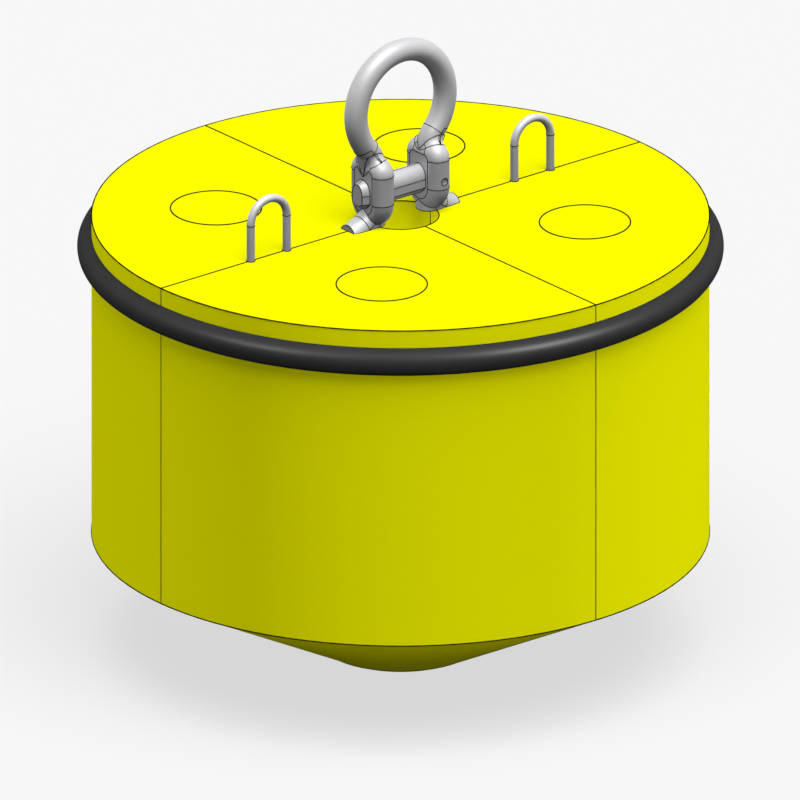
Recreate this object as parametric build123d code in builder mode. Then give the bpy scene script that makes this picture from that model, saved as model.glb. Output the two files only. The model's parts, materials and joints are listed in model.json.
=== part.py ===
# Steel mooring buoy: a round hull of welded plate in four watertight compartments, a hawse pipe through
# its middle, a rubber fender ring, and a big mooring shackle that stands on the deck over the hawse pipe.
# Millimetres. +Z is up, Z = 0 is the flat foot that the buoy stands on, and the hull's axis is X = Y = 0.
# +X runs along the deck seam that carries the two lifting lugs, and along the shackle's pin.
import os
from math import acos, cos, degrees, radians, sin, sqrt, tan

from build123d import *

# Hull, outside sizes
hull_diameter = 3000.0
side_height = 1650.0
cone_height = 600.0
foot_diameter = 700.0

# Plate thicknesses
deck_plate_t = 12.0
side_plate_t = 10.0
cone_plate_t = 12.0
foot_plate_t = 20.0
bulkhead_t = 8.0
fit_gap = 0.2

# Hawse pipe
hawse_bore = 375.0
hawse_wall = 20.0

# Manholes, one in each quarter of the deck
manhole_diameter = 450.0
manhole_circle = 1800.0
seat_width = 25.0
seat_t = 12.0
cover_gap = 3.0

# Fender, half round
fender_radius = 70.0
fender_below_deck = 160.0

# Lifting lugs, bent from round bar
lug_bar = 40.0
lug_leg_spacing = 225.0
lug_leg_height = 185.0
lug_place = 825.5

# Shackle bow, heights above the deck
bow_bar = 114.0
crown_radius = 279.0
crown_height = 583.0
neck_radius = 130.0
neck_fillet = 48.0

# Shackle eyes
eye_place = 174.0
eye_step = 3.0
eye_half_width = 128.0
eye_height = 359.0
eye_corner = 25.0
eye_clearance = 0.5

# Shackle feet
foot_step = 0.5
foot_bend_radius = 105.0
foot_slope = 22.0
foot_reach = 331.0
foot_clearance = 0.3

# Shackle pin: an oval top on a faceted keel
pin_height = 170.0
pin_half_width = 53.0
pin_shoulder = 5.0
pin_crest = 69.0
pin_flank = 43.0
pin_keel_drop = 30.0
pin_keel_half_width = 22.0
pin_tip_length = 37.0
pin_tip_inset = 16.5
pin_clearance = 1.0
locking_hole = 38.0

# Worked-out sizes
hull_r = hull_diameter / 2
foot_r = foot_diameter / 2
deck_z = cone_height + side_height
deck_under_z = deck_z - deck_plate_t
bore_r = hawse_bore / 2
pipe_r = bore_r + hawse_wall
side_inner_r = hull_r - side_plate_t
cone_run = (hull_r - foot_r) / cone_height
cone_wall = cone_plate_t * sqrt(1 + 1 / cone_run**2)
manhole_r = manhole_diameter / 2
manhole_place = manhole_circle / 2
bow_r = bow_bar / 2
eye_rim = bow_r + eye_step
eye_rim_place = eye_half_width - eye_rim
eye_low_z = eye_half_width + eye_clearance
foot_half = eye_rim - foot_step
pin_keel_z = pin_height + pin_shoulder - pin_flank - pin_keel_drop
foot_bend_z = pin_keel_z - pin_clearance
pin_body_half_length = eye_place + eye_rim
quarter_names = (1, 2, 3, 4)
mirror_sides = (-1, 1)
deck_front = Plane(origin=(0, 0, deck_z), x_dir=(1, 0, 0), z_dir=(0, -1, 0))
locking_plane = Plane(origin=(eye_place, 0, deck_z + pin_height), x_dir=(1, 0, 0), z_dir=(0, -1, 0))


def cone_outer_r(z):
    """Outside radius of the cone at height z."""
    return foot_r + cone_run * z


def cone_inner_r(z):
    """Inside radius of the cone plating at height z."""
    return cone_outer_r(z) - cone_wall * cone_run


def quarter_angle(quarter):
    """Angle at which a quarter of the hull starts."""
    return 90 * (quarter - 1)


def manhole_location(quarter, z):
    """Middle of the manhole in one quarter, at height z."""
    angle = radians(quarter_angle(quarter) + 45)
    return Location((manhole_place * cos(angle), manhole_place * sin(angle), z))


def save(part, name):
    """Labels a finished piece and writes its STEP file."""
    part.label = name
    export_step(part, f"parts/{name}.step")
    print(name, round(part.volume / 1e6, 2), "litres")


def revolved_quarter(outline, quarter):
    """One quarter of a ring, from its outline of radius and height."""
    start = Plane.XZ.rotated((0, 0, quarter_angle(quarter)))
    with BuildPart() as ring:
        with BuildSketch(start):
            with BuildLine():
                Polyline(*outline, close=True)
            make_face()
        revolve(axis=Axis.Z, revolution_arc=90)
    return ring.part


def make_deck_plates():
    outline = [(bore_r, deck_under_z), (hull_r, deck_under_z), (hull_r, deck_z), (bore_r, deck_z)]
    for quarter in quarter_names:
        with BuildPart() as plate:
            add(revolved_quarter(outline, quarter))
            with Locations(manhole_location(quarter, deck_z)):
                Hole(radius=manhole_r)
        save(plate.part, f"deck_plate_{quarter}")


def make_side_shells():
    outline = [
        (side_inner_r, cone_height),
        (hull_r, cone_height),
        (hull_r, deck_under_z),
        (side_inner_r, deck_under_z),
    ]
    for quarter in quarter_names:
        save(revolved_quarter(outline, quarter), f"side_shell_{quarter}")


def make_cone_plates():
    outline = [
        (cone_inner_r(foot_plate_t), foot_plate_t),
        (cone_outer_r(foot_plate_t), foot_plate_t),
        (hull_r, cone_height),
        (cone_inner_r(cone_height), cone_height),
    ]
    for quarter in quarter_names:
        save(revolved_quarter(outline, quarter), f"cone_plate_{quarter}")


def make_foot_plate():
    with BuildPart() as plate:
        with BuildSketch(Plane.XZ):
            with BuildLine():
                Polyline(
                    (bore_r, 0),
                    (foot_r, 0),
                    (cone_outer_r(foot_plate_t), foot_plate_t),
                    (bore_r, foot_plate_t),
                    close=True,
                )
            make_face()
        revolve(axis=Axis.Z)
    save(plate.part, "foot_plate")


def make_hawse_pipe():
    with BuildPart() as pipe:
        with BuildSketch(Plane.XY.offset(foot_plate_t)):
            Circle(pipe_r)
            Circle(bore_r, mode=Mode.SUBTRACT)
        extrude(amount=deck_under_z - foot_plate_t)
    save(pipe.part, "hawse_pipe")


def make_bulkheads():
    for quarter in quarter_names:
        with BuildPart() as bulkhead:
            with BuildSketch(Plane.XZ.rotated((0, 0, quarter_angle(quarter)))):
                with BuildLine():
                    Polyline(
                        (pipe_r, foot_plate_t),
                        (cone_inner_r(foot_plate_t) - fit_gap, foot_plate_t),
                        (cone_inner_r(cone_height) - fit_gap, cone_height),
                        (side_inner_r - fit_gap, cone_height),
                        (side_inner_r - fit_gap, deck_under_z),
                        (pipe_r, deck_under_z),
                        close=True,
                    )
                make_face()
            extrude(amount=bulkhead_t / 2, both=True)
        save(bulkhead.part, f"bulkhead_{quarter}")


def make_manholes():
    seat_inner_r = manhole_r - seat_width
    for quarter in quarter_names:
        with BuildPart() as seat:
            with BuildSketch(Plane(manhole_location(quarter, deck_under_z - seat_t))):
                Circle(manhole_r + seat_width)
                Circle(seat_inner_r, mode=Mode.SUBTRACT)
            extrude(amount=seat_t)
        save(seat.part, f"manhole_seat_{quarter}")
        with BuildPart() as cover:
            with BuildSketch(Plane(manhole_location(quarter, deck_under_z))):
                Circle(manhole_r - cover_gap)
            extrude(amount=deck_plate_t)
        save(cover.part, f"manhole_cover_{quarter}")


def make_fender():
    centre_z = deck_z - fender_below_deck
    with BuildPart() as fender:
        with BuildSketch(Plane.XZ):
            with BuildLine():
                CenterArc((hull_r, centre_z), fender_radius, -90, 180)
                Line((hull_r, centre_z + fender_radius), (hull_r, centre_z - fender_radius))
            make_face()
        revolve(axis=Axis.Z)
    save(fender.part, "fender")


def make_lifting_lugs():
    half = lug_leg_spacing / 2
    for side in mirror_sides:
        lug_plane = Plane(origin=(side * lug_place, 0, deck_z), x_dir=(1, 0, 0), z_dir=(0, -1, 0))
        with BuildPart() as lug:
            with BuildLine(lug_plane):
                Line((-half, 0), (-half, lug_leg_height))
                CenterArc((0, lug_leg_height), half, 180, -180)
                Line((half, lug_leg_height), (half, 0))
            with BuildSketch(Plane((side * lug_place - half, 0, deck_z))):
                Circle(lug_bar / 2)
            sweep()
        save(lug.part, "lifting_lug_1" if side < 0 else "lifting_lug_2")


def pin_section(x, grow):
    """Section across the pin at x, with each wall moved out by grow."""
    half = pin_half_width + grow
    flank_z = pin_shoulder - pin_flank
    keel_z = pin_keel_z - pin_height - grow
    keel_half = pin_keel_half_width + grow / 2
    with BuildSketch(Plane(origin=(x, 0, deck_z + pin_height), x_dir=(0, 1, 0), z_dir=(1, 0, 0))) as section:
        with Locations((0, pin_shoulder)):
            Ellipse(half, pin_crest + grow)
        with BuildLine():
            Polyline(
                (-half, pin_shoulder),
                (-half, flank_z),
                (-keel_half, keel_z),
                (keel_half, keel_z),
                (half, flank_z),
                (half, pin_shoulder),
                close=True,
            )
        make_face()
    return section.sketch


def make_shackle_pin():
    tip_x = pin_body_half_length + pin_tip_length
    with BuildPart() as pin:
        extrude(pin_section(-pin_body_half_length, 0), amount=2 * pin_body_half_length, dir=(1, 0, 0))
        loft((pin_section(pin_body_half_length, 0), pin_section(tip_x, -pin_tip_inset)), ruled=True)
        loft((pin_section(-pin_body_half_length, 0), pin_section(-tip_x, -pin_tip_inset)), ruled=True)
        with BuildSketch(locking_plane):
            Circle(locking_hole / 2)
        extrude(amount=2 * pin_half_width, both=True, mode=Mode.SUBTRACT)
    save(pin.part, "shackle_pin")


def shackle_bow():
    """The bow: two legs up out of the eyes, a reverse bend at the waist on each side, and the crown."""
    waist = degrees(acos((eye_place + neck_radius) / (crown_radius + neck_radius)))
    neck_z = crown_height - (crown_radius + neck_radius) * sin(radians(waist))
    with BuildPart() as bow:
        with BuildLine(deck_front):
            Line((-eye_place, eye_low_z), (-eye_place, neck_z))
            CenterArc((-eye_place - neck_radius, neck_z), neck_radius, 0, waist)
            CenterArc((0, crown_height), crown_radius, 180 + waist, -180 - 2 * waist)
            CenterArc((eye_place + neck_radius, neck_z), neck_radius, 180 - waist, waist)
            Line((eye_place, neck_z), (eye_place, eye_low_z))
        with BuildSketch(Plane((-eye_place, 0, deck_z + eye_low_z))):
            Circle(bow_r)
        sweep()
    return bow.part


def eye_outline():
    """Middle line of an eye's rim: round below, straight flanks, and a flat top with round corners."""
    top_z = eye_height - eye_rim
    FilletPolyline(
        (eye_rim_place, eye_low_z),
        (eye_rim_place, top_z),
        (-eye_rim_place, top_z),
        (-eye_rim_place, eye_low_z),
        radius=eye_corner,
    )
    CenterArc((0, eye_low_z), eye_rim_place, 180, 180)


def shackle_eye(side):
    """One eye: a tall slab with a half-round rim swept all the way round it."""
    middle = Plane(origin=(side * eye_place, 0, deck_z), x_dir=(0, 1, 0), z_dir=(1, 0, 0))
    with BuildPart() as eye:
        with BuildSketch(middle):
            with BuildLine():
                eye_outline()
            make_face()
        extrude(amount=eye_rim, both=True)
        with BuildLine(middle) as rim_line:
            eye_outline()
        with BuildSketch(Plane((side * eye_place, eye_rim_place, deck_z + eye_low_z))):
            Circle(eye_rim)
            with Locations((0, -eye_rim)):
                Rectangle(2 * eye_rim, 2 * eye_rim, mode=Mode.SUBTRACT)
        sweep(path=rim_line.wire())
    return eye.part


def foot_line(toe, tip):
    """Middle line of a foot's bar: a bend outwards from the eye, then a straight slope down to the tip."""
    CenterArc((eye_place + foot_bend_radius, foot_bend_z), foot_bend_radius, 180, 90 - foot_slope)
    Line(toe, tip)


def shackle_foot(side):
    """One foot: a bar that bends outwards below the eye, filled in beneath and cut flat on the deck."""
    base = Plane(origin=(0, 0, deck_z), x_dir=(side, 0, 0), z_dir=(0, -side, 0))
    slope = radians(foot_slope)
    toe = (eye_place + foot_bend_radius * (1 - sin(slope)), foot_bend_z - foot_bend_radius * cos(slope))
    tip_x = foot_reach + 2 * foot_half
    tip = (tip_x, toe[1] - (tip_x - toe[0]) * tan(slope))
    with BuildPart() as foot:
        with BuildLine(base):
            foot_line(toe, tip)
        with BuildSketch(Plane((side * eye_place, 0, deck_z + foot_bend_z))):
            Circle(foot_half)
        sweep()
        with BuildSketch(base):
            with BuildLine():
                foot_line(toe, tip)
                Polyline(tip, (eye_place, tip[1]), (eye_place, foot_bend_z))
            make_face()
        extrude(amount=foot_half, both=True)
        with BuildSketch(Plane((side * eye_place, 0, deck_z))):
            Circle(foot_half)
        extrude(amount=foot_bend_z)
        # All below the deck's clearance, and all beyond the foot's reach, is cut away
        with BuildSketch(Plane((0, 0, deck_z + foot_clearance))):
            Rectangle(4 * tip_x, 4 * tip_x)
        extrude(amount=-tip_x, mode=Mode.SUBTRACT)
        with BuildSketch(Plane(origin=(side * foot_reach, 0, deck_z), z_dir=(side, 0, 0))):
            Rectangle(4 * tip_x, 4 * tip_x)
        extrude(amount=tip_x, mode=Mode.SUBTRACT)
    return foot.part


def make_shackle_body():
    with BuildPart() as shackle:
        add(shackle_bow())
        for side in mirror_sides:
            add(shackle_eye(side))
        # The bow runs into each eye along free curves, and those are blended
        fillet(shackle.edges().filter_by(GeomType.BSPLINE), neck_fillet)
        for side in mirror_sides:
            add(shackle_foot(side))
        # Way through both eyes for the pin, and the hole for the locking pin across one of them
        way_half = eye_place + 2 * eye_rim
        extrude(pin_section(-way_half, pin_clearance), amount=2 * way_half, dir=(1, 0, 0), mode=Mode.SUBTRACT)
        with BuildSketch(locking_plane):
            Circle(locking_hole / 2)
        extrude(amount=2 * eye_half_width, both=True, mode=Mode.SUBTRACT)
    save(shackle.part, "shackle_body")


os.makedirs("parts", exist_ok=True)
make_deck_plates()
make_side_shells()
make_cone_plates()
make_foot_plate()
make_hawse_pipe()
make_bulkheads()
make_manholes()
make_fender()
make_lifting_lugs()
make_shackle_pin()
make_shackle_body()
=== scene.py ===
# Looks of a steel mooring buoy: yellow paint over welded plate, black rubber, and grey forged steel.
# Metres. The frame gives every CAD piece its place, and what is added here is placed from the frame's boxes.
import json
from math import atan2, cos, inf, pi, radians, sin

import bmesh
import bpy
from mathutils import Matrix, Vector


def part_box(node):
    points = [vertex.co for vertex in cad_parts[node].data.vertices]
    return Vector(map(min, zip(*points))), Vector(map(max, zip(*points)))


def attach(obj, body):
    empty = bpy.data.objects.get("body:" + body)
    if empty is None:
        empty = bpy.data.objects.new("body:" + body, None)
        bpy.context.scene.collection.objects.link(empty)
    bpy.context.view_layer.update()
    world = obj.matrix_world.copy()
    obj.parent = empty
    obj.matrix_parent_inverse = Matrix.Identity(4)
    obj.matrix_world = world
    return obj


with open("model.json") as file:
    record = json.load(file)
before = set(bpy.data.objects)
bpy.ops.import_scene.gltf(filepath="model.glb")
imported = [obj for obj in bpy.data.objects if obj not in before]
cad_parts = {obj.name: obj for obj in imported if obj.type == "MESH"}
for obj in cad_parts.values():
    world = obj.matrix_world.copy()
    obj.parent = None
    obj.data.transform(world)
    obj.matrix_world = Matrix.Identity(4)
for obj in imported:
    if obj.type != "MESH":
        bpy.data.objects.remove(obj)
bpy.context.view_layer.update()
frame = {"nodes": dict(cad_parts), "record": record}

# Photograph's frame: the camera is orthographic, and one metre is photo_scale pixels
photo_width = 800
photo_scale = 206.0
view_azimuth = -39.2
view_elevation = 22.0
axis_pixel = Vector((400.5, 215.25))

# Sizes from the frame
quarters = (1, 2, 3, 4)
deck_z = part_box("deck_plate_1")[1].z
hull_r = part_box("deck_plate_1")[1].x
knuckle_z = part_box("cone_plate_1")[1].z
foot_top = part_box("foot_plate")[1]
mounts = {mount["name"]: mount for mount in frame["record"]["mounts"]}
bore_r = mounts["hawse_bore"]["dims"]["r_mm"] / 1000

# Weld beads. A bead is a row of ripples, and pipe_weld_end keeps the pipe's bead off the floor.
deck_weld_width = 0.0070
side_weld_width = 0.0046
rim_weld_width = 0.0060
weld_ripple = 0.008
weld_sides = 8
ripple_swell = 1.14
pipe_weld_end = 0.002

# Rubber trims of the manhole covers
trim_width = 0.0064
trim_rise = 0.0044
trim_past_edge = 0.0027
trim_sides = 128

# Dark lines along the steel's edges. The shackle's stop where its bow is one smooth bar, and a lug's are the
# level ones: an edge that rises by more than level_tolerance isn't level.
edge_line_width = 0.0046
shackle_lines_top = deck_z + 0.435
level_tolerance = 0.0005

# Neck webs: from the waist of the bow's leg, which leans out, each runs down to a tip on the eye's outer
# face. Places are out from the hull's axis and up from the deck.
waist_out, waist_up = 0.2074, 0.3964
waist_lean = 42.0
waist_r = 0.0567
web_tip_out, web_tip_up = 0.2330, 0.2620
web_tip_share = 0.07
web_sides = 96

# The lines of a neck web, on one side of it. A point is how far out, how far along and how far up it lies.
web_outline = (
    (0.2345, 0.000, 0.2600),
    (0.2350, 0.022, 0.2800),
    (0.2350, 0.042, 0.3010),
    (0.2290, 0.056, 0.3190),
)
web_fold = (
    (0.2345, 0.000, 0.2600),
    (0.2400, 0.018, 0.3030),
    (0.2435, 0.028, 0.3420),
    (0.2405, 0.046, 0.3730),
)
# The upper edge goes round the leg and runs on into the crease where the leg enters the eye
web_upper_edge = (
    (0.2670, 0.0000, 0.3768),
    (0.2684, 0.0162, 0.3836),
    (0.2668, 0.0314, 0.3925),
    (0.2577, 0.0434, 0.3993),
    (0.2465, 0.0530, 0.4073),
    (0.2290, 0.0572, 0.4150),
    (0.2100, 0.0576, 0.3920),
    (0.2010, 0.0594, 0.3732),
    (0.1915, 0.0725, 0.3548),
    (0.1872, 0.0868, 0.3458),
)
crease_other_edge = (
    (0.1980, 0.0566, 0.3900),
    (0.1900, 0.0602, 0.3695),
    (0.1828, 0.0838, 0.3495),
)
web_lines = (web_outline, web_fold, web_upper_edge, crease_other_edge)

# The solid's own edges aren't drawn under a web or beside its crease: least and most out, along and up
web_places = (
    (0.200, 0.400, 0.000, 0.050, 0.270, 0.348),
    (0.230, 0.260, 0.000, 0.037, 0.340, 0.3725),
    (0.203, 0.224, 0.050, 0.082, 0.339, 0.3845),
)

# Modelling. Points nearer than merge_distance become one point, or line_merge_distance along a dark line.
# A plane of start_size is only a start, and faces that meet at less than smooth_under are shaded as one.
merge_distance = 0.0001
line_merge_distance = 0.0002
start_size = 0.01
smooth_under = radians(40)

# Floor, background, camera and lamps
floor_width = 80
floor_drop = 0.0005
background_shade = 0.93
camera_distance = 8
camera_reach = 100
lamp_distance = 6


def deselect_all():
    """Leaves nothing selected, so that the next operator acts only on what it is meant for."""
    bpy.ops.object.select_all(action="DESELECT")


def only(piece):
    """Selects one object and makes it active."""
    deselect_all()
    piece.select_set(True)
    bpy.context.view_layer.objects.active = piece


def apply_modifiers(piece):
    """Applies every modifier of a piece, in order."""
    only(piece)
    for name in [modifier.name for modifier in piece.modifiers]:
        bpy.ops.object.modifier_apply(modifier=name)


def settle(piece):
    """Puts a piece's place into its mesh, so that its object sits at the origin."""
    only(piece)
    bpy.ops.object.transform_apply(location=True, rotation=True, scale=True)


def copy_of(piece):
    """A copy of a piece, with a mesh of its own."""
    twin = piece.copy()
    twin.data = piece.data.copy()
    bpy.context.scene.collection.objects.link(twin)
    return twin


def join(parts, name):
    """Joins several objects into one named piece."""
    deselect_all()
    for part in parts:
        part.select_set(True)
    bpy.context.view_layer.objects.active = parts[0]
    bpy.ops.object.join()
    parts[0].name = name
    parts[0].data.name = name
    return parts[0]


def finish_piece(piece, material, body):
    """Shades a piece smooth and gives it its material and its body."""
    settle(piece)
    bpy.ops.object.shade_smooth_by_angle(angle=smooth_under)
    piece.data.materials.clear()
    piece.data.materials.append(material)
    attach(piece, body)


def close_ends(piece):
    """Fills the open ends of a tube and turns its faces outwards."""
    only(piece)
    bpy.ops.object.mode_set(mode="EDIT")
    bpy.ops.mesh.select_all(action="SELECT")
    bpy.ops.mesh.remove_doubles(threshold=merge_distance)
    bpy.ops.mesh.select_all(action="DESELECT")
    bpy.ops.mesh.select_non_manifold(extend=False)
    bpy.ops.mesh.fill_holes(sides=0)
    bpy.ops.mesh.select_all(action="SELECT")
    bpy.ops.mesh.normals_make_consistent(inside=False)
    bpy.ops.object.mode_set(mode="OBJECT")


def straight_weld(start, end, width, name):
    """A rippled weld bead from one point to another: one ripple is modelled and repeated along the seam."""
    run = end - start
    count = round(run.length / weld_ripple)
    pitch = run.length / count
    deselect_all()
    bpy.ops.mesh.primitive_cylinder_add(
        vertices=weld_sides, radius=width / 2, depth=pitch, end_fill_type="NOTHING"
    )
    bead = bpy.context.object
    bead.name = name
    bpy.ops.object.mode_set(mode="EDIT")
    bpy.ops.mesh.select_all(action="SELECT")
    bpy.ops.transform.translate(value=(0, 0, pitch / 2))
    bpy.ops.mesh.bisect(plane_co=(0, 0, pitch / 2), plane_no=(0, 0, 1))
    # The bisect leaves the middle ring selected, and it swells into the ripple's crest
    bpy.ops.transform.resize(value=(ripple_swell, ripple_swell, 1))
    bpy.ops.object.mode_set(mode="OBJECT")
    repeat = bead.modifiers.new("ripples", "ARRAY")
    repeat.count = count
    repeat.use_relative_offset = False
    repeat.use_constant_offset = True
    repeat.constant_offset_displace = (0, 0, pitch)
    repeat.use_merge_vertices = True
    repeat.merge_threshold = merge_distance
    apply_modifiers(bead)
    close_ends(bead)
    bead.rotation_euler = run.to_track_quat("Z", "Y").to_euler()
    bead.location = start
    settle(bead)
    return bead


def ring_weld(middle, radius, width, name):
    """A rippled weld bead in a level ring: a thin ring, with every other section of it swollen."""
    ripples = 2 * round(pi * radius / weld_ripple)
    deselect_all()
    bpy.ops.mesh.primitive_torus_add(
        major_radius=radius,
        minor_radius=width / 2,
        major_segments=2 * ripples,
        minor_segments=weld_sides,
        location=middle,
    )
    bead = bpy.context.object
    bead.name = name
    settle(bead)
    bpy.ops.object.mode_set(mode="EDIT")
    bpy.ops.mesh.select_all(action="DESELECT")
    mesh = bmesh.from_edit_mesh(bead.data)
    for vertex in mesh.verts:
        section = atan2(vertex.co.y - middle.y, vertex.co.x - middle.x) / (pi / ripples)
        vertex.select = round(section) % 2 == 0
    mesh.select_flush(True)
    bmesh.update_edit_mesh(bead.data)
    bpy.ops.transform.shrink_fatten(value=(ripple_swell - 1) * width / 2)
    bpy.ops.object.mode_set(mode="OBJECT")
    return bead


def turned_copies(piece, count):
    """The piece and its copies, turned about the hull's axis by equal angles."""
    copies = [piece]
    for step in range(1, count):
        twin = copy_of(piece)
        twin.rotation_euler = (0, 0, 2 * pi * step / count)
        settle(twin)
        copies.append(twin)
    return copies


def seam_welds(material):
    """The weld beads along the plate seams, across the deck and down the side, the cone and the pipe."""
    mouth = Vector((bore_r, 0, deck_z))
    rim = Vector((hull_r, 0, deck_z))
    knuckle = Vector((hull_r, 0, knuckle_z))
    foot = Vector((foot_top.x, 0, foot_top.z))
    pipe_end = Vector((bore_r, 0, pipe_weld_end))
    runs = (
        ("deck_seam_welds", mouth, rim, deck_weld_width),
        ("side_seam_welds", rim, knuckle, side_weld_width),
        ("cone_seam_welds", knuckle, foot, side_weld_width),
        ("pipe_seam_welds", mouth, pipe_end, side_weld_width),
    )
    for name, start, end, width in runs:
        run = straight_weld(start, end, width, name)
        piece = join(turned_copies(run, len(quarters)), name)
        finish_piece(piece, material, "hull")


def ring_welds(material):
    """The weld beads round the deck's rim, the knuckle of side and cone, the pipe's mouth and the foot."""
    rings = (
        ("rim_weld", hull_r, deck_z),
        ("knuckle_weld", hull_r, knuckle_z),
        ("pipe_mouth_weld", bore_r, deck_z),
        ("foot_weld", foot_top.x, foot_top.z),
    )
    for name, radius, height in rings:
        bead = ring_weld(Vector((0, 0, height)), radius, rim_weld_width, name)
        finish_piece(bead, material, "hull")


def lug_welds(material):
    """The weld bead round the foot of each leg of the lifting lugs."""
    for lug in (1, 2):
        low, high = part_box(f"lifting_lug_{lug}")
        bar_r = (high.y - low.y) / 2
        beads = []
        for x in (low.x + bar_r, high.x - bar_r):
            beads.append(ring_weld(Vector((x, 0, deck_z)), bar_r, rim_weld_width, "lug_weld"))
        piece = join(beads, f"lug_welds_{lug}")
        finish_piece(piece, material, "hull")


def cover_trims(material):
    """A rubber trim on each manhole cover's edge, seen as the dark line round it. It lifts with its cover."""
    for quarter in quarters:
        low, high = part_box(f"manhole_cover_{quarter}")
        middle = (low + high) / 2
        outer_r = (high.x - low.x) / 2 + trim_past_edge
        inner_r = outer_r - trim_width
        deselect_all()
        bpy.ops.mesh.primitive_circle_add(
            vertices=trim_sides, radius=inner_r, fill_type="NOTHING", location=(middle.x, middle.y, high.z)
        )
        trim = bpy.context.object
        trim.name = f"manhole_trim_{quarter}"
        bpy.ops.object.mode_set(mode="EDIT")
        bpy.ops.mesh.select_all(action="SELECT")
        bpy.ops.mesh.extrude_edges_move()
        bpy.ops.transform.resize(value=(outer_r / inner_r, outer_r / inner_r, 1))
        bpy.ops.mesh.select_all(action="SELECT")
        bpy.ops.mesh.extrude_region_move(TRANSFORM_OT_translate={"value": (0, 0, trim_rise)})
        bpy.ops.mesh.select_all(action="SELECT")
        bpy.ops.mesh.normals_make_consistent(inside=False)
        bpy.ops.object.mode_set(mode="OBJECT")
        rounding = trim.modifiers.new("rounding", "BEVEL")
        rounding.width = trim_rise / 3
        rounding.segments = 2
        rounding.limit_method = "ANGLE"
        apply_modifiers(trim)
        finish_piece(trim, material, f"cover_{quarter}")


def neck_webs(material):
    """A pointed web below each leg of the bow, which fairs the leg into the outer face of its eye."""
    for number, side in ((1, -1), (2, 1)):
        waist = Vector((side * waist_out, 0, deck_z + waist_up))
        tip = Vector((side * web_tip_out, 0, deck_z + web_tip_up))
        deselect_all()
        bpy.ops.mesh.primitive_circle_add(
            vertices=web_sides,
            radius=waist_r,
            fill_type="NGON",
            location=waist,
            rotation=(0, side * radians(waist_lean), 0),
        )
        web = bpy.context.object
        web.name = f"neck_web_{number}"
        settle(web)
        bpy.ops.object.mode_set(mode="EDIT")
        bpy.ops.mesh.select_all(action="SELECT")
        bpy.ops.mesh.extrude_region_move(TRANSFORM_OT_translate={"value": tip - waist})
        bpy.ops.transform.resize(value=(web_tip_share, web_tip_share, web_tip_share), center_override=tip)
        bpy.ops.mesh.select_all(action="SELECT")
        bpy.ops.mesh.normals_make_consistent(inside=False)
        bpy.ops.object.mode_set(mode="OBJECT")
        finish_piece(web, material, "shackle")


def thin_tubes(lines):
    """Turns loose edges into tubes of the width of an edge line."""
    only(lines)
    bpy.ops.object.convert(target="CURVE")
    lines.data.bevel_depth = edge_line_width / 2
    lines.data.bevel_resolution = 0
    bpy.ops.object.convert(target="MESH")


def line_through(points):
    """A row of loose edges through a few points. It starts from a plane that is merged to one point."""
    deselect_all()
    bpy.ops.mesh.primitive_plane_add(size=start_size, location=points[0])
    line = bpy.context.object
    settle(line)
    bpy.ops.object.mode_set(mode="EDIT")
    bpy.ops.mesh.select_all(action="SELECT")
    bpy.ops.mesh.merge(type="CENTER")
    for start, end in zip(points, points[1:]):
        bpy.ops.mesh.extrude_vertices_move(TRANSFORM_OT_translate={"value": end - start})
    bpy.ops.object.mode_set(mode="OBJECT")
    return line


def neck_web_lines(material):
    """The dark lines of both neck webs and of the creases beside them."""
    lines = []
    for side in (-1, 1):
        for end in (-1, 1):
            for row in web_lines:
                points = [Vector((side * out, end * along, deck_z + up)) for out, along, up in row]
                lines.append(line_through(points))
    piece = join(lines, "neck_web_lines")
    thin_tubes(piece)
    finish_piece(piece, material, "shackle")


def is_at_web(place):
    """Whether a point of the shackle lies under a neck web or beside its crease."""
    out, along, up = abs(place.x), abs(place.y), place.z - deck_z
    for least_out, most_out, least_along, most_along, lowest, highest in web_places:
        if least_out < out < most_out and least_along <= along < most_along and lowest < up < highest:
            return True
    return False


def is_drawn(edge, top_z, level_only):
    """Whether an edge of the steel shows as a dark line."""
    places = [corner.co for corner in edge.verts]
    too_high = max(place.z for place in places) > top_z
    slanted = level_only and abs(places[0].z - places[1].z) > level_tolerance
    return not (too_high or slanted or all(is_at_web(place) for place in places))


def edge_lines(stem, node_name, body, material, top_z=inf, level_only=False):
    """Thin dark lines along the edges where a steel piece's faces meet, up to a height: the scale left there.
    On bent bar only the level ones are real: the others are where a tube's face closes on itself."""
    lines = copy_of(frame["nodes"][node_name])
    lines.name = f"{stem}_edge_lines"
    only(lines)
    bpy.ops.object.mode_set(mode="EDIT")
    bpy.ops.mesh.select_mode(type="EDGE")
    bpy.ops.mesh.select_all(action="DESELECT")
    bpy.ops.mesh.select_non_manifold(
        extend=False,
        use_wire=False,
        use_boundary=True,
        use_multi_face=False,
        use_non_contiguous=False,
        use_verts=False,
    )
    mesh = bmesh.from_edit_mesh(lines.data)
    for edge in mesh.edges:
        if not is_drawn(edge, top_z, level_only):
            edge.select = False
    bmesh.update_edit_mesh(lines.data)
    bpy.ops.mesh.mark_seam()
    bpy.ops.mesh.select_all(action="SELECT")
    bpy.ops.mesh.delete(type="ONLY_FACE")
    bpy.ops.mesh.select_all(action="DESELECT")
    mesh = bmesh.from_edit_mesh(lines.data)
    for edge in mesh.edges:
        edge.select = not edge.seam
    bmesh.update_edit_mesh(lines.data)
    bpy.ops.mesh.delete(type="EDGE")
    bpy.ops.mesh.select_all(action="SELECT")
    bpy.ops.mesh.delete_loose(use_verts=True, use_edges=False, use_faces=False)
    bpy.ops.mesh.select_all(action="SELECT")
    bpy.ops.mesh.remove_doubles(threshold=line_merge_distance)
    bpy.ops.object.mode_set(mode="OBJECT")
    thin_tubes(lines)
    finish_piece(lines, material, body)


# Materials

paint_roughness = 0.60
steel_roughness = 0.48
steel_metallic = 0.35
grain_depth = 0.0006
wax_ior = 2.5


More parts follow.
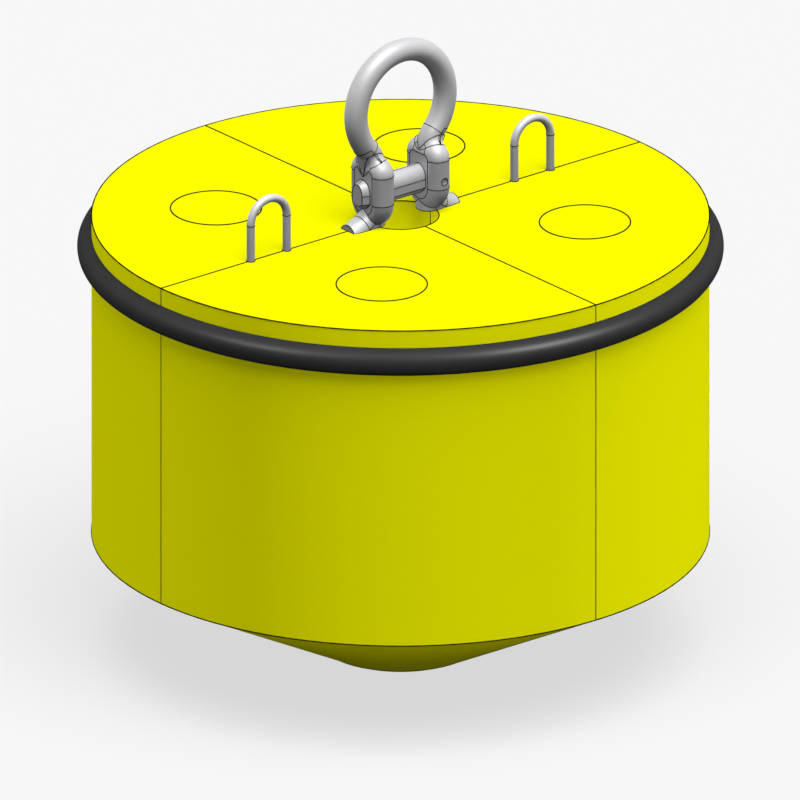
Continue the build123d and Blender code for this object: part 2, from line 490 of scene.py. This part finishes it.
def grey(shade):
    """A neutral colour."""
    return (shade, shade, shade, 1)


def new_group(name, inputs, outputs):
    """An empty shader group with its sockets, and its input and output nodes."""
    group = bpy.data.node_groups.new(name, "ShaderNodeTree")
    for label, kind, value in inputs:
        socket = group.interface.new_socket(name=label, in_out="INPUT", socket_type=kind)
        if value is not None:
            socket.default_value = value
    for label, kind in outputs:
        group.interface.new_socket(name=label, in_out="OUTPUT", socket_type=kind)
    return group, group.nodes.new("NodeGroupInput"), group.nodes.new("NodeGroupOutput")


def maths(tree, operation, *values):
    """A Math node whose inputs are numbers or sockets. Gives its output."""
    node = tree.nodes.new("ShaderNodeMath")
    node.operation = operation
    for index, value in enumerate(values):
        if isinstance(value, (int, float)):
            node.inputs[index].default_value = value
        else:
            tree.links.new(value, node.inputs[index])
    return node.outputs[0]


def noise(tree, vector, scale, detail, roughness=0.5):
    """A Noise Texture of a given scale on a vector. Gives its factor."""
    node = tree.nodes.new("ShaderNodeTexNoise")
    node.inputs["Detail"].default_value = detail
    node.inputs["Roughness"].default_value = roughness
    tree.links.new(vector, node.inputs["Vector"])
    if isinstance(scale, (int, float)):
        node.inputs["Scale"].default_value = scale
    else:
        tree.links.new(scale, node.inputs["Scale"])
    return node.outputs["Fac"]


def mottle_group():
    """Soft colour variation: a colour, made lighter and darker in patches, and a value that follows them."""
    group, given, result = new_group(
        "Mottle",
        (
            ("Vector", "NodeSocketVector", None),
            ("Color", "NodeSocketColor", (1, 1, 1, 1)),
            ("Patch Scale", "NodeSocketFloat", 3.0),
            ("Fine Scale", "NodeSocketFloat", 60.0),
            ("Amount", "NodeSocketFloat", 0.05),
        ),
        (("Color", "NodeSocketColor"), ("Value", "NodeSocketFloat")),
    )
    patch_share = 0.6
    swing = 4.0
    patches = noise(group, given.outputs["Vector"], given.outputs["Patch Scale"], detail=4.0)
    fine = noise(group, given.outputs["Vector"], given.outputs["Fine Scale"], detail=6.0, roughness=0.6)
    patch_part = maths(group, "MULTIPLY", patches, patch_share)
    fine_part = maths(group, "MULTIPLY", fine, 1 - patch_share)
    both = maths(group, "ADD", patch_part, fine_part)
    centred = maths(group, "SUBTRACT", both, 0.5)
    spread = maths(group, "MULTIPLY", centred, given.outputs["Amount"])
    shade = maths(group, "ADD", maths(group, "MULTIPLY", spread, swing), 1.0)
    tint = group.nodes.new("ShaderNodeVectorMath")
    tint.operation = "SCALE"
    group.links.new(given.outputs["Color"], tint.inputs[0])
    group.links.new(shade, tint.inputs["Scale"])
    group.links.new(tint.outputs[0], result.inputs["Color"])
    group.links.new(both, result.inputs["Value"])
    return group


def painted_facing_shade_group():
    """Painted shade and light by facing: Beneath on what faces down, rising to Above towards the sky."""
    group, given, result = new_group(
        "Painted Facing Shade",
        (
            ("Normal", "NodeSocketVector", None),
            ("Beneath", "NodeSocketFloat", 0.5),
            ("Above", "NodeSocketFloat", 1.1),
        ),
        (("Shade", "NodeSocketFloat"),),
    )
    facing_down = -0.7
    facing_up = 1.0
    parts = group.nodes.new("ShaderNodeSeparateXYZ")
    group.links.new(given.outputs["Normal"], parts.inputs[0])
    rise = group.nodes.new("ShaderNodeMapRange")
    rise.interpolation_type = "SMOOTHSTEP"
    rise.inputs["From Min"].default_value = facing_down
    rise.inputs["From Max"].default_value = facing_up
    group.links.new(parts.outputs["Z"], rise.inputs["Value"])
    group.links.new(given.outputs["Beneath"], rise.inputs["To Min"])
    group.links.new(given.outputs["Above"], rise.inputs["To Max"])
    group.links.new(rise.outputs["Result"], result.inputs["Shade"])
    return group


# The groups that more than one material uses
groups = {"mottle": mottle_group(), "painted_facing_shade": painted_facing_shade_group()}


def use_group(tree, name, **values):
    """Places a shared group in a material, with its own values."""
    node = tree.nodes.new("ShaderNodeGroup")
    node.node_tree = groups[name]
    for label, value in values.items():
        socket = node.inputs[label.replace("_", " ")]
        if isinstance(value, bpy.types.NodeSocket):
            tree.links.new(value, socket)
        else:
            socket.default_value = value
    return node


def blank_material(name):
    """A material with its Principled BSDF and Object coordinates."""
    material = bpy.data.materials.new(name)
    material.use_nodes = True
    tree = material.node_tree
    surface = tree.nodes["Principled BSDF"]
    place = tree.nodes.new("ShaderNodeTexCoord").outputs["Object"]
    return material, tree, surface, place


def uneven_roughness(tree, surface, value, roughness, spread):
    """A roughness that follows a value from 0 to 1, by a spread to either side of its middle."""
    node = tree.nodes.new("ShaderNodeMapRange")
    node.inputs["To Min"].default_value = roughness - spread
    node.inputs["To Max"].default_value = roughness + spread
    tree.links.new(value, node.inputs["Value"])
    tree.links.new(node.outputs["Result"], surface.inputs["Roughness"])


def mixed(tree, mask, first, second):
    """Mixes two colours by a mask. Each is a socket or a colour."""
    node = tree.nodes.new("ShaderNodeMix")
    node.data_type = "RGBA"
    tree.links.new(mask, node.inputs["Factor"])
    for label, value in (("A", first), ("B", second)):
        socket = [s for s in node.inputs if s.name == label and s.type == "RGBA"][0]
        if isinstance(value, bpy.types.NodeSocket):
            tree.links.new(value, socket)
        else:
            socket.default_value = value
    return [s for s in node.outputs if s.type == "RGBA"][0]


def grain(tree, surface, place, scale, detail, strength):
    """A fine raised grain: a Bump node between a noise and the shader's normal."""
    height = noise(tree, place, scale, detail)
    bump = tree.nodes.new("ShaderNodeBump")
    bump.inputs["Strength"].default_value = strength
    bump.inputs["Distance"].default_value = grain_depth
    tree.links.new(height, bump.inputs["Height"])
    tree.links.new(bump.outputs["Normal"], surface.inputs["Normal"])


def mottled(tree, place, color, patch_scale, fine_scale, amount):
    """The mottle group in a material. Gives the mottled colour and the value that it follows."""
    mottle = use_group(
        tree,
        "mottle",
        Vector=place,
        Color=color,
        Patch_Scale=patch_scale,
        Fine_Scale=fine_scale,
        Amount=amount,
    )
    return mottle.outputs["Color"], mottle.outputs["Value"]


def paint_material(name, color, thrown_back):
    """Marine paint, rolled on: fine orange peel, and slow changes of shade. It throws back another colour."""
    material, tree, surface, place = blank_material(name)
    tone, value = mottled(tree, place, color, patch_scale=2.2, fine_scale=45.0, amount=0.012)
    light = tree.nodes.new("ShaderNodeLightPath")
    bounced = maths(tree, "MAXIMUM", light.outputs["Is Diffuse Ray"], light.outputs["Is Glossy Ray"])
    tree.links.new(mixed(tree, bounced, tone, thrown_back), surface.inputs["Base Color"])
    uneven_roughness(tree, surface, value, paint_roughness, spread=0.05)
    surface.inputs["Specular IOR Level"].default_value = 0.0
    grain(tree, surface, place, scale=260.0, detail=2.0, strength=0.12)
    return material


def painted_shade_by_facing(tree, place, color, beneath, above):
    """A colour, scaled by how far the surface faces up: painted light and shade by facing."""
    facing_shade_node = use_group(tree, "painted_facing_shade", Normal=place.node.outputs["Normal"], Beneath=beneath, Above=above)
    scaled = tree.nodes.new("ShaderNodeVectorMath")
    scaled.operation = "SCALE"
    tree.links.new(color, scaled.inputs[0])
    tree.links.new(facing_shade_node.outputs["Shade"], scaled.inputs["Scale"])
    return scaled.outputs[0]


def steel_material(name, color):
    """Forged steel: a fine scale texture, with painted light on top and painted shade beneath."""
    material, tree, surface, place = blank_material(name)
    tone, value = mottled(tree, place, color, patch_scale=9.0, fine_scale=160.0, amount=0.05)
    tree.links.new(painted_shade_by_facing(tree, place, tone, beneath=0.5, above=1.1), surface.inputs["Base Color"])
    uneven_roughness(tree, surface, value, steel_roughness, spread=0.06)
    surface.inputs["Metallic"].default_value = steel_metallic
    grain(tree, surface, place, scale=420.0, detail=4.0, strength=0.15)
    return material


def dull_material(name, color, roughness, bloom=0.0):
    """A dull dark finish, as of moulded rubber or of the scale in a seam. Bloom is how much wax shows."""
    material, tree, surface, place = blank_material(name)
    tone, value = mottled(tree, place, color, patch_scale=4.0, fine_scale=90.0, amount=0.08)
    # Painted shade: the colour darkens on what faces down
    tree.links.new(painted_shade_by_facing(tree, place, tone, beneath=0.5, above=1.0), surface.inputs["Base Color"])
    uneven_roughness(tree, surface, value, roughness, spread=0.08)
    surface.inputs["Specular IOR Level"].default_value = 0.0
    surface.inputs["Coat Weight"].default_value = bloom
    surface.inputs["Coat IOR"].default_value = wax_ior
    surface.inputs["Coat Roughness"].default_value = roughness
    grain(tree, surface, place, scale=500.0, detail=3.0, strength=0.2)
    return material


def dress(names, material):
    """Gives CAD nodes their material."""
    for name in names:
        node = frame["nodes"][name]
        node.data.materials.clear()
        node.data.materials.append(material)


def numbered(*stems):
    """The names of the four quarters' nodes, for each stem."""
    return [f"{stem}_{quarter}" for stem in stems for quarter in quarters]


# Stage


def seen_in_view(tree):
    """1 where the camera sees the surface, straight or in a gloss, and 0 where it only throws light back."""
    light = tree.nodes.new("ShaderNodeLightPath")
    seen = maths(tree, "MAXIMUM", light.outputs["Is Camera Ray"], light.outputs["Is Glossy Ray"])
    return maths(tree, "MAXIMUM", seen, light.outputs["Is Transmission Ray"])


def pale_floor():
    """A wide pale floor. The camera sees it lighter than it is, and its shadows softer."""
    shade_thrown_back = 0.16
    shade_seen = 0.80
    glow_share = 0.6
    deselect_all()
    bpy.ops.mesh.primitive_plane_add(size=floor_width, location=(0, 0, -floor_drop))
    floor = bpy.context.object
    floor.name = "floor"
    material, tree, surface, place = blank_material("pale floor")
    seen = seen_in_view(tree)
    tree.links.new(mixed(tree, seen, grey(shade_thrown_back), grey(shade_seen)), surface.inputs["Base Color"])
    surface.inputs["Roughness"].default_value = 1.0
    surface.inputs["Specular IOR Level"].default_value = 0.0
    glow = tree.nodes.new("ShaderNodeEmission")
    glow.inputs["Color"].default_value = grey(background_shade)
    mix = tree.nodes.new("ShaderNodeMixShader")
    tree.links.new(maths(tree, "MULTIPLY", seen, glow_share), mix.inputs["Fac"])
    tree.links.new(surface.outputs[0], mix.inputs[1])
    tree.links.new(glow.outputs[0], mix.inputs[2])
    tree.links.new(mix.outputs[0], tree.nodes["Material Output"].inputs["Surface"])
    floor.data.materials.append(material)


def studio_world():
    """A soft even sky, with a pale background where the camera sees past the floor."""
    sky_strength = 0.09
    world = bpy.data.worlds.new("studio")
    bpy.context.scene.world = world
    world.use_nodes = True
    tree = world.node_tree
    sky = tree.nodes["Background"]
    sky.inputs["Color"].default_value = grey(1)
    sky.inputs["Strength"].default_value = sky_strength
    background = tree.nodes.new("ShaderNodeBackground")
    background.inputs["Color"].default_value = grey(background_shade)
    mix = tree.nodes.new("ShaderNodeMixShader")
    tree.links.new(seen_in_view(tree), mix.inputs["Fac"])
    tree.links.new(sky.outputs[0], mix.inputs[1])
    tree.links.new(background.outputs[0], mix.inputs[2])
    tree.links.new(mix.outputs[0], tree.nodes["World Output"].inputs["Surface"])


# Lamps: name, degrees right of the camera and degrees up that the light comes from, strength, and softness in
# degrees. The key throws the shadows and the highlights. The fills only lighten, and throw neither.
lamps = (
    ("key_above", 18, 68, 2.42, 55),
    ("fill_front", 8, 15, 0.39, 8),
    ("fill_right", 61, 20, 0.46, 8),
    ("fill_left_back", -119, 20, 1.30, 8),
    ("fill_right_back", 120, 20, 1.29, 8),
)
# The same for the two lamps that shine only in a gloss
glints = (
    ("glint_left", -56, 41, 6.7, 25),
    ("glint_right", 60, 41, 16.0, 25),
)


def sun(name, right_of_camera, up, strength, softness):
    """A distant lamp. Gives its object."""
    turn = radians(view_azimuth - 90 + right_of_camera)
    towards = Vector((cos(turn) * cos(radians(up)), sin(turn) * cos(radians(up)), sin(radians(up))))
    deselect_all()
    bpy.ops.object.light_add(type="SUN", location=lamp_distance * towards)
    lamp = bpy.context.object
    lamp.name = name
    lamp.rotation_euler = towards.to_track_quat("Z", "Y").to_euler()
    lamp.data.energy = strength
    lamp.data.angle = radians(softness)
    return lamp


def studio_lamps():
    """The key and the fills."""
    for name, *setting in lamps:
        lamp = sun(name, *setting)
        lamp.data.use_shadow = name.startswith("key")
        lamp.visible_glossy = name.startswith("key")


def glints_on(node_name):
    """Two lamps that only shine in the gloss of one piece: the long soft glints along the fender."""
    receivers = bpy.data.collections.new("glint receivers")
    receivers.objects.link(frame["nodes"][node_name])
    for name, *setting in glints:
        lamp = sun(name, *setting)
        lamp.visible_diffuse = False
        lamp.data.use_shadow = False
        lamp.light_linking.receiver_collection = receivers


def camera_at_photo():
    """The photograph's orthographic view: its direction, its scale and its middle."""
    azimuth = radians(view_azimuth)
    elevation = radians(view_elevation)
    right = Vector((cos(azimuth), sin(azimuth), 0))
    ahead = Vector((-sin(azimuth) * cos(elevation), cos(azimuth) * cos(elevation), -sin(elevation)))
    above = right.cross(ahead)
    middle = Vector((photo_width / 2, photo_width / 2)) - axis_pixel
    target_z = deck_z - middle.y / (photo_scale * cos(elevation))
    target = Vector((0, 0, target_z)) + right * (middle.x / photo_scale)
    deselect_all()
    bpy.ops.object.camera_add()
    camera = bpy.context.object
    camera.data.type = "ORTHO"
    camera.data.ortho_scale = photo_width / photo_scale
    camera.data.clip_end = camera_reach
    pose = Matrix((right, above, -ahead)).transposed().to_4x4()
    pose.translation = target - camera_distance * ahead
    camera.matrix_world = pose
    bpy.context.scene.camera = camera


yellow = paint_material("yellow paint", color=(0.90, 0.90, 0.0, 1), thrown_back=(0.05, 0.05, 0.045, 1))
# The pipe gets a lighter copy of the yellow paint, which also throws back a lighter grey: painted light that
# lifts the shade inside the hole
lightened_pipe_yellow = paint_material("yellow paint lightened in the pipe", color=(0.95, 0.95, 0.0, 1), thrown_back=grey(0.60))
primer = paint_material("grey primer", color=(0.15, 0.16, 0.16, 1), thrown_back=(0.15, 0.16, 0.16, 1))
steel = steel_material("forged steel", color=(0.61, 0.61, 0.62, 1))
lug_steel = steel_material("bent steel bar", color=(0.68, 0.68, 0.69, 1))
rubber = dull_material("fender rubber", color=(0.037, 0.037, 0.038, 1), roughness=0.42, bloom=0.03)
trim_rubber = dull_material("trim rubber", color=grey(0.008), roughness=0.70)
seam_dark = dull_material("dark seam", color=(0.010, 0.010, 0.004, 1), roughness=0.70)

dress(numbered("deck_plate", "side_shell", "cone_plate", "manhole_cover", "manhole_seat"), yellow)
dress(["foot_plate"], yellow)
dress(["hawse_pipe"], lightened_pipe_yellow)
dress(numbered("bulkhead"), primer)
dress(["fender"], rubber)
dress(["lifting_lug_1", "lifting_lug_2"], lug_steel)
dress(["shackle_body", "shackle_pin"], steel)

seam_welds(seam_dark)
ring_welds(seam_dark)
lug_welds(seam_dark)
cover_trims(trim_rubber)
neck_webs(steel)
neck_web_lines(seam_dark)
edge_lines("shackle", "shackle_body", "shackle", seam_dark, top_z=shackle_lines_top)
edge_lines("pin", "shackle_pin", "pin", seam_dark)
edge_lines("lug_1", "lifting_lug_1", "hull", seam_dark, level_only=True)
edge_lines("lug_2", "lifting_lug_2", "hull", seam_dark, level_only=True)

pale_floor()
studio_world()
studio_lamps()
glints_on("fender")
camera_at_photo()
bpy.context.scene.view_settings.view_transform = "Standard"
